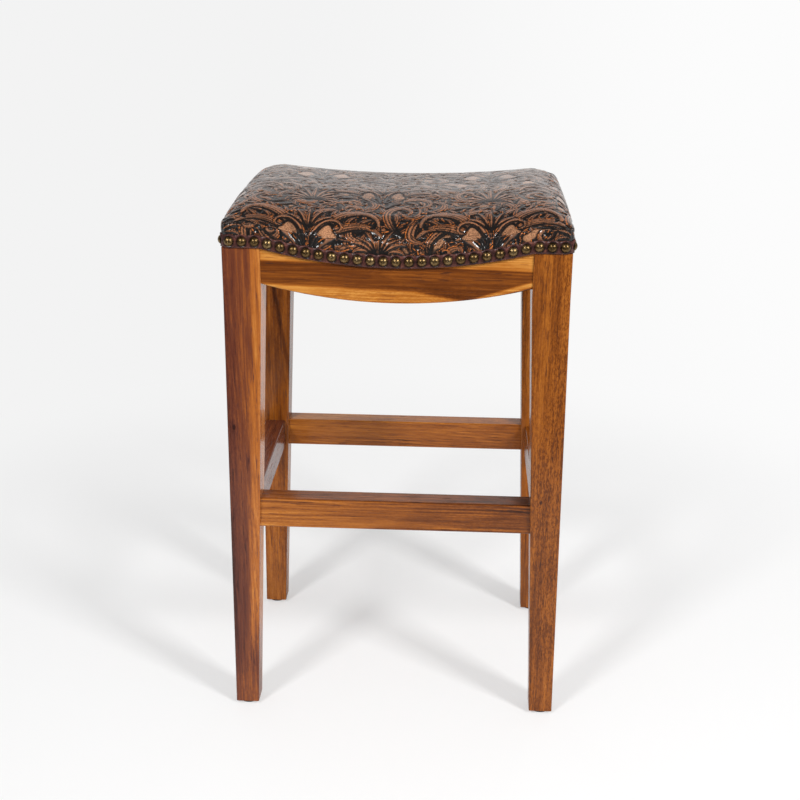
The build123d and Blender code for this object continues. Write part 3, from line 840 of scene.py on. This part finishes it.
# fill the hide with scattered fronds, then press the large motifs over them in rows
spot_pitch = 0.027
spot_stray = 0.009
spots_u = np.arange(-hide_half_u, hide_half_u, spot_pitch)
spots_v = np.arange(-hide_half_v, hide_half_v, spot_pitch)
spots = np.array([(u, v) for v in spots_v for u in spots_u])
for number in chance.permutation(len(spots)):
    spot = spots[number] + chance.uniform(-spot_stray, spot_stray, 2)
    way = 1 if chance.random() < 0.5 else -1
    width = chance.uniform(0.0052, 0.0072)
    heading = chance.uniform(0, 2 * math.pi)
    length = chance.uniform(0.066, 0.092)
    frond(spot, heading, length, way * chance.uniform(4.4, 5.8), width, 3, 5, 0.9)
front_foot = -(seat_half_y - edge_run + roll_length + 0.012)
row_pitch = 0.094
for row_number in range(5):
    foot_v = front_foot + row_pitch * row_number
    one, other, size = (plume, palmette, 0.9) if row_number % 2 else (palmette, plume, 1.12)
    for foot_u in (-0.205, -0.020, 0.205):
        one(foot_u, foot_v, 0.9)
    for foot_u in (-0.292, -0.100, 0.106, 0.297):
        other(foot_u, foot_v, size)


def soften(field):
    """Ease the pressed lines by one cell."""
    for axis in (0, 1):
        field = 0.25 * np.roll(field, 1, axis) + 0.5 * field + 0.25 * np.roll(field, -1, axis)
    return field


open_hide = ground
for _ in range(28):
    open_hide = soften(open_hide)
gap = ground * (1 - np.clip((open_hide - 0.45) / 0.25, 0, 1))
groove = np.maximum(groove, gap * 0.62)
relief = soften(relief - gap * 0.4)
# open ground fades out towards the leaves round it, so their darker colour shows there as painted shade
ground = soften(ground * (1 - gap) * np.clip((open_hide - 0.35) / 0.6, 0, 1))


def read_hide(field, u, v):
    """Value of one of the hide's fields at places on it, eased between its cells."""
    column = np.clip((u + hide_half_u) / hide_cell, 0, len(hide_u) - 1.001)
    row = np.clip((v + hide_half_v) / hide_cell, 0, len(hide_v) - 1.001)
    left = column.astype(int)
    under = row.astype(int)
    share_u = column - left
    share_v = row - under
    low = field[under, left] * (1 - share_u) + field[under, left + 1] * share_u
    high = field[under + 1, left] * (1 - share_u) + field[under + 1, left + 1] * share_u
    return low * (1 - share_v) + high * share_v


def mark(piece, name, values):
    """Give each vertex of a mesh a number that its material can read."""
    made = piece.data.attributes.new(name, "FLOAT", "POINT")
    made.data.foreach_set("value", values.astype(np.float32))


# lay the fine sheet over the puffed lining and press the pattern into it
leather_cuts = 7
emboss_depth = 0.00080
emboss_depth_on_top = 0.00046
fold_depth = 0.0007
band_top = 0.0135
cover, cover_row, cover_column, cover_u, cover_v, cover_pleat = cushion_sheet(
    "seat_leather", leather_cuts, 0.0, glue_gap
)
puff_grid = np.zeros((int(lining_row.max()) + 1, int(lining_column.max()) + 1, 3), np.float32)
puff_grid[lining_row.astype(int), lining_column.astype(int)] = puff
row_low = np.minimum((cover_row / leather_cuts).astype(int), puff_grid.shape[0] - 2)
column_low = np.minimum((cover_column / leather_cuts).astype(int), puff_grid.shape[1] - 2)
row_share = (cover_row / leather_cuts - row_low)[:, None]
column_share = (cover_column / leather_cuts - column_low)[:, None]
row_puffs = [
    puff_grid[row, column_low] * (1 - column_share) + puff_grid[row, column_low + 1] * column_share
    for row in (row_low, row_low + 1)
]
cover_rest = points_of(cover) + row_puffs[0] * (1 - row_share) + row_puffs[1] * row_share
put_points(cover, cover_rest)
normals = points_of(cover, "normal")
fold = np.exp(-((cover_pleat / 1.3) ** 2))
# painted shade that deepens round the corners
corner_shade = np.exp(-((cover_pleat / 45) ** 2))
flat_top = np.clip((normals[:, 2] - 0.88) / 0.10, 0, 1)
facing_front = np.clip((-normals[:, 1] - 0.15) / 0.25, 0, 1)
# painted shade on the rounded front edge of the seat
front_roll_shade = np.clip((normals[:, 2] - 0.45) / 0.25, 0, 1) * facing_front
# where the top faces up: the painted sheen of reflected backdrop goes there
facing_up_sheen = flat_top * (1 - np.clip((-normals[:, 1] - 0.05) / 0.20, 0, 1))
depth_here = emboss_depth + (emboss_depth_on_top - emboss_depth) * flat_top
cover_height = read_hide(relief, cover_u, cover_v) * depth_here - fold * fold_depth
above_band = np.clip((cover_rest[:, 2] - saddle(cover_rest[:, 0]) - band_top) / 0.002, 0, 1)
put_points(cover, cover_rest + normals * (cover_height * above_band)[:, None])
# painted shade added to the dye: a dark crease along each corner fold, darkening round the corners and on
# the rounded front edge
dye_and_crease_shade = np.maximum(read_hide(groove, cover_u, cover_v), fold)
mark(cover, "groove", dye_and_crease_shade + 0.28 * corner_shade + 0.12 * front_roll_shade)
mark(cover, "rubbed", read_hide(rubbed, cover_u, cover_v))
mark(cover, "ground", read_hide(ground, cover_u, cover_v))
mark(cover, "raised", read_hide(relief, cover_u, cover_v))
mark(cover, "upward", facing_up_sheen)

leather = Finish("tooled_leather", Coat_Roughness=0.17, Specular_IOR_Level=0.2)
# dark mark: dye in the grooves, with painted shade at leaf roots and shaded sides, corner folds and the
# front roll
dye_and_painted_shade = leather.attribute("groove")
# copper mark: rubbed ridges, with painted highlights on the lit edges of leaves and hollows
copper = leather.attribute("rubbed")
open_ground_and_edge_shade = leather.attribute("ground")
upward = leather.attribute("upward")
cloud = leather.place.scaled(45, 45, 45).grain(3.0, 0.6)
pebble = leather.place.scaled(1000, 1000, 1000).grain(2.0, 0.6)
crease = leather.place.scaled(420, 420, 420).grain(3.0, 0.6, 0.6)
swirl = leather.place.scaled(55, 55, 55).grain(1.0, 0.5, 1.5) * 110
strokes = swirl.math("SINE") * (1 - open_ground_and_edge_shade)
hide_light = (leather.attribute("raised") * 0.50 + cloud * 0.65).step(0.35, 0.98)
leaf_colour = hide_light.mix(tint(44, 29, 21), tint(164, 112, 80))
open_colour = (pebble * 0.8 + cloud * 0.3).step(0.42, 0.68).mix(tint(78, 50, 33), tint(192, 138, 100))
# where open ground fades at its edges, the dark leaf colour shows through as painted shade
body = open_ground_and_edge_shade.step(0.15, 0.85).mix(leaf_colour, open_colour)
# painted sheen on the top: paler copper, lighter dye and pale curls stand in for the reflection of the
# bright backdrop
copper_colour = upward.mix(tint(228, 126, 44), tint(212, 158, 112))
edge = (copper * (1.25 - upward * 0.4) * crease.step(0.32, 0.50)).mix(body, copper_colour)
dye_and_shade_colour = upward.mix(tint(12, 7, 5), tint(58, 37, 29))
colour = (dye_and_painted_shade + strokes * 0.26).step(0.10, 0.66).mix(edge, dye_and_shade_colour)
# pale curls painted on the top as reflected sheen
curls = leather.place.scaled(36, 36, 36).grain(1.0, 0.5, 2.0) * 64
sheen_curls = curls.math("SINE").step(0.70, 0.95) * cloud.step(0.46, 0.60) * upward
colour = (sheen_curls * 0.36).mix(colour, tint(214, 190, 170))
height = pebble * 0.35 * (0.4 + open_ground_and_edge_shade) + crease * 0.4 + strokes * (0.34 + upward * 0.3)
leather.set(
    Base_Color=colour,
    Coat_Weight=0.82 - upward * 0.04,
    Roughness=0.36 + dye_and_painted_shade * 0.2 + pebble * 0.1,
    Normal=height.bump(0.00040, 0.8),
)
cover.data.materials.append(leather.material)
bpy.ops.object.select_all(action="DESELECT")
lining.data.materials.append(leather.material)
bpy.context.view_layer.objects.active = lining
lining.select_set(True)
bpy.ops.object.mode_set(mode="EDIT")
bpy.ops.mesh.select_all(action="SELECT")
bpy.ops.mesh.flip_normals()
bpy.ops.object.mode_set(mode="OBJECT")
cover.select_set(True)
bpy.context.view_layer.objects.active = cover
bpy.ops.object.join()
bpy.ops.object.mode_set(mode="EDIT")
bpy.ops.mesh.select_mode(type="EDGE")
bpy.ops.mesh.select_all(action="DESELECT")
bpy.ops.mesh.select_non_manifold(
    extend=False, use_wire=False, use_multi_face=False, use_non_contiguous=False, use_verts=False
)
bpy.ops.mesh.bridge_edge_loops()
bpy.ops.object.mode_set(mode="OBJECT")
bpy.ops.object.shade_smooth()
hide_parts("seat_cover")
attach(cover, "root")


# Band: a strip of dark oxblood leather folded to fifteen millimetres and nailed round the
# edge of the seat. Each nail pulls it into a round dimple with a soft rim, and a ring of
# painted shade darkens it round each nail head.
band_height = 0.015
band_thickness = 0.0015
band_half_x, band_half_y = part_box("trim_band")[1].xy
band_radius = 0.011
nail_margin = 0.0105
front_nail_gaps = 26
side_nail_gaps = 20
nail_line = 0.0075
band_steps = 1240
band_round = 28
scallop_half = 0.0073
scallop_height = 0.0007
dimple_depth = 0.0005
dimple_radius = 0.0052
rim_height = 0.0010
rim_radius = 0.0070
band, band_column, band_row = new_grid("nailed_band", band_steps, band_round)

# the band's path round the seat, straight parts and corners in turn. For each part: its length,
# the start of a straight part or the centre of a corner, and the quarter turn at its start
quarter_arc = band_radius * math.pi / 2
right = band_half_x - band_radius
back = band_half_y - band_radius
path = (
    (back, (band_half_x, 0), 0),
    (quarter_arc, (right, back), 0),
    (2 * right, (right, band_half_y), 1),
    (quarter_arc, (-right, back), 1),
    (2 * back, (-band_half_x, back), 2),
    (quarter_arc, (-right, -back), 2),
    (2 * right, (-right, -band_half_y), 3),
    (quarter_arc, (right, -back), 3),
    (back, (band_half_x, -back), 4),
)
lengths, starts, quarters = [np.array(facts, float) for facts in zip(*path)]
ends = np.concatenate(([0], np.cumsum(lengths)))
run = (band_column / band_steps % 1.0) * ends[-1]
part = np.clip(np.searchsorted(ends, run, side="right") - 1, 0, len(path) - 1)
into = run - ends[part]
is_corner = part % 2 == 1
angle = quarters[part] * math.pi / 2 + np.where(is_corner, into / band_radius, 0)
out = np.stack((np.cos(angle), np.sin(angle)), axis=-1)
onward = np.stack((-np.sin(angle), np.cos(angle)), axis=-1) * into[:, None]
face = starts[part] + np.where(is_corner[:, None], band_radius * out, onward)

# its section, a flat loop with rounded corners
section = band_row / band_round * 2 * math.pi
across_section = np.round(np.cos(section), 9)
up_section = np.round(np.sin(section), 9)
up_share = np.sign(up_section) * np.abs(up_section) ** 0.35
out_share = np.sign(across_section) * np.abs(across_section) ** 0.35
level = nail_line + up_share * band_height / 2

# distance of each point from the nearest nail, along the face and in all
nail_distance = np.full(len(run), 1.0)
nail_gap = np.zeros(len(run))
faces = (
    (band_half_x, band_half_y, front_nail_gaps, 0, 1.0),
    (band_half_y, band_half_x, side_nail_gaps, 1, scallop_half),
)
for half_long, half_wide, gaps, axis, reach in faces:
    pitch = 2 * (half_long - nail_margin) / gaps
    to_nail = (face[:, axis] + half_long - nail_margin) / pitch
    nearest = np.clip(np.rint(to_nail), 0, gaps)
    gap = (to_nail - nearest) * pitch
    on_face = np.abs(np.abs(face[:, 1 - axis]) - half_wide) < 0.004
    distance = np.hypot(gap, level - nail_line)
    nail_distance = np.where(on_face, np.minimum(nail_distance, distance), nail_distance)
    nail_gap = np.where(on_face & (np.abs(gap) < reach), gap, nail_gap)
scallop = np.cos(np.clip(np.abs(nail_gap) / scallop_half, 0, 1) * math.pi) * (nail_distance < 0.05)
dimple = -dimple_depth * np.exp(-((nail_distance / dimple_radius) ** 4))
rim = rim_height * np.exp(-(((nail_distance - rim_radius) / 0.0011) ** 2))
level = level + np.where(up_share > 0, scallop_height * scallop, 0) * np.abs(up_share)
pressed = np.where(out_share > 0, dimple + rim, 0) * np.clip(out_share, 0, 1)
depth = band_thickness / 2 * (out_share - 1) + pressed
band_xy = face + out * depth[:, None]
put_points(band, np.column_stack((band_xy, saddle(face[:, 0]) + level)))
# painted shade: a dark ring round each nail head
mark(band, "dirt", np.exp(-(((nail_distance - 0.0058) / 0.0009) ** 2)))
weld(0.00001)
oxblood = Finish("band_leather", Coat_Weight=0.2, Coat_Roughness=0.25, Specular_IOR_Level=0.25)
# the ring of painted shade round each nail head darkens the leather there
dirt = oxblood.attribute("dirt")
wear = oxblood.place.scaled(260, 260, 260).grain(3.0, 0.6)
pits = oxblood.place.scaled(1300, 1300, 1300).grain(2.0)
worn = wear.ramp((0.3, tint(46, 22, 20)), (0.55, tint(78, 40, 34)), (0.75, tint(122, 70, 54)))
oxblood.set(
    Base_Color=dirt.mix(worn, tint(12, 7, 6)),
    Roughness=0.34 + wear * 0.25,
    Normal=(pits * 0.5 + wear).bump(0.0003, 0.6),
)
band.data.materials.append(oxblood.material)
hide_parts("trim_band")
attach(band, "root")


# Upholstery nails: domed brass heads with an antique finish, tarnished in patches, driven
# through the band into the board.
brass = Finish("antique_brass", Metallic=1.0)
tarnish = brass.place.scaled(420, 420, 420).grain(3.0, 0.6)
each = brass.place.scaled(68, 68, 0).grain(0.0)
brass_tones = ((0.35, tint(70, 55, 34)), (0.6, tint(110, 88, 56)), (0.85, tint(156, 134, 96)))
brass.set(
    Base_Color=(tarnish * 0.7 + each * 0.5).ramp(*brass_tones),
    Roughness=0.28 + tarnish * 0.16,
    Normal=tarnish.bump(0.0001, 0.4),
)
for side in ("front", "back", "left", "right"):
    dress(f"upholstery_nails_{side}", brass)


# Dust cover: black non-woven cloth stretched under the board and tacked near its edge,
# its corners cut off past the corner blocks. It dips a little between the tacks.
cloth_half_x, cloth_half_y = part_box("dust_cover")[1].xy
cloth_corner = 0.0432
cloth_thickness = 0.0008
cloth_gap = 0.0001
cloth_sag = 0.0009
cloth_ripple = 0.00025
tacked_margin = 0.008
cloth_sheet, _, _ = new_grid("dust_cloth", 120, 90)
for vertex in cloth_sheet.data.vertices:
    vertex.co = (vertex.co.x * cloth_half_x, vertex.co.y * cloth_half_y, 0)
bpy.ops.object.mode_set(mode="EDIT")
for side_x in (-1, 1):
    for side_y in (-1, 1):
        bpy.ops.mesh.select_all(action="SELECT")
        bpy.ops.mesh.bisect(
            plane_co=(side_x * (cloth_half_x - cloth_corner), side_y * cloth_half_y, 0),
            plane_no=(side_x, side_y, 0),
            clear_outer=True,
        )
bpy.ops.object.mode_set(mode="OBJECT")
for vertex in cloth_sheet.data.vertices:
    x, y = vertex.co.x, vertex.co.y
    edge = min(cloth_half_x - abs(x), cloth_half_y - abs(y))
    sag = cloth_sag * min(max(edge - tacked_margin, 0) / 0.02, 1)
    ripple = cloth_ripple * math.sin(x * 120) * math.exp(-edge / 0.012)
    vertex.co.z = float(saddle(np.array(x))) - cloth_gap - cloth_thickness / 2 - sag - abs(ripple)
thickness = cloth_sheet.modifiers.new("thickness", "SOLIDIFY")
thickness.thickness = cloth_thickness
thickness.offset = 0
bpy.ops.object.modifier_apply(modifier="thickness")
bpy.ops.object.shade_smooth()
black_cloth = Finish("dust_cloth_black", Roughness=0.9)
felt = black_cloth.place.scaled(1500, 1500, 600).grain(4.0, 0.7)
dot_places = black_cloth.place.scaled(420, 420, 420)
dots = dot_places.node("ShaderNodeTexVoronoi", {}, {"Vector": dot_places, "Scale": 1.0})
black_cloth.set(
    Base_Color=(felt * 0.7 + dots * 0.5).ramp((0.3, tint(10, 10, 11)), (0.9, tint(48, 47, 46))),
    Normal=(felt + dots).bump(0.0003, 0.7),
)
cloth_sheet.data.materials.append(black_cloth.material)
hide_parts("dust_cover")
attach(cloth_sheet, "root")
dress("dust_cover_tacks", steel)
